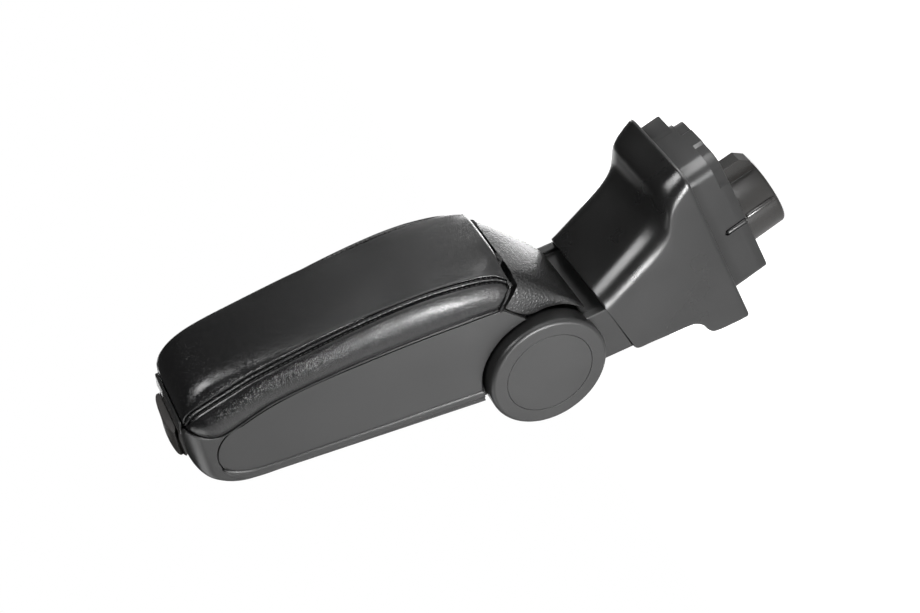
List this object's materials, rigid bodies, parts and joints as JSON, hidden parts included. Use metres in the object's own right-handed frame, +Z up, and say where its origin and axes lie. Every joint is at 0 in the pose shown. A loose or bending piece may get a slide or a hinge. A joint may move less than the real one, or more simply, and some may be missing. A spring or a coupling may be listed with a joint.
{
  "type": "car centre armrest",
  "caption": "Folding centre armrest: padded hinged lid on a tapered storage box, friction hub, leaning neck and column base with an insert block and a cup-holder plug.",
  "frame": {"origin": "on the plug's axis, level with the underside of the base's flange", "axes": "+Z up along the plug's axis, +Y forward in the car, +X to the right; the arm is stored folded up"},
  "size_m": [0.119, 0.2736, 0.5148],
  "materials": {
    "pad_leatherette": "glossy fine-grained leatherette",
    "grained_black": "pebble-grained black",
    "satin_grey": "satin dark grey",
    "gloss_black": "satin-gloss black",
    "steel": "zinc-plated",
    "black_steel": "black coated",
    "rubber": "matt",
    "board": "moulded board"
  },
  "bodies": {
    "base": {"base_shell": "gloss_black", "insert_block": "satin_grey", "cup_plug": "satin_grey", "plug_screws": "steel", "steel_post": "black_steel", "foot_bolts": "steel", "neck_yoke": "satin_grey", "neck_bolts": "steel", "hinge_axle": "steel", "axle_nut": "steel", "disc_springs": "steel", "friction_washers": "steel", "left_hub_cover": "satin_grey", "right_hub_cover": "satin_grey", "left_hub_cap": "satin_grey", "right_hub_cap": "satin_grey"},
    "arm": {"tub": "satin_grey", "arm_bracket": "black_steel", "bracket_screws": "steel", "left_side_panel": "satin_grey", "right_side_panel": "satin_grey", "rear_hood": "grained_black", "tub_mat": "rubber", "lid_hinge_pin": "steel", "latch_pin": "steel", "latch_spring": "steel"},
    "lid": {"lid_pad": "pad_leatherette", "lid_plate": "board", "lid_screws": "steel", "lid_bumpers": "rubber", "lid_striker": "steel"},
    "latch": {"latch_handle": "grained_black"}
  },
  "joints": [
    {"name": "arm_fold", "type": "hinge", "parent": "base", "child": "arm", "pos_m": [0, -0.022, 0.17], "axis": [-1, 0, 0], "range_deg": [0, 104]},
    {"name": "lid_hinge", "type": "hinge", "parent": "arm", "child": "lid", "pos_m": [0, -0.12703, 0.15721], "axis": [1, 0, 0], "range_deg": [0, 80]},
    {"name": "latch_pull", "type": "hinge", "parent": "arm", "child": "latch", "pos_m": [0, -0.16057, 0.42815], "axis": [1, 0, 0], "range_deg": [0, 15], "stiffness_Nm_per_rad": 0.2}
  ]
}
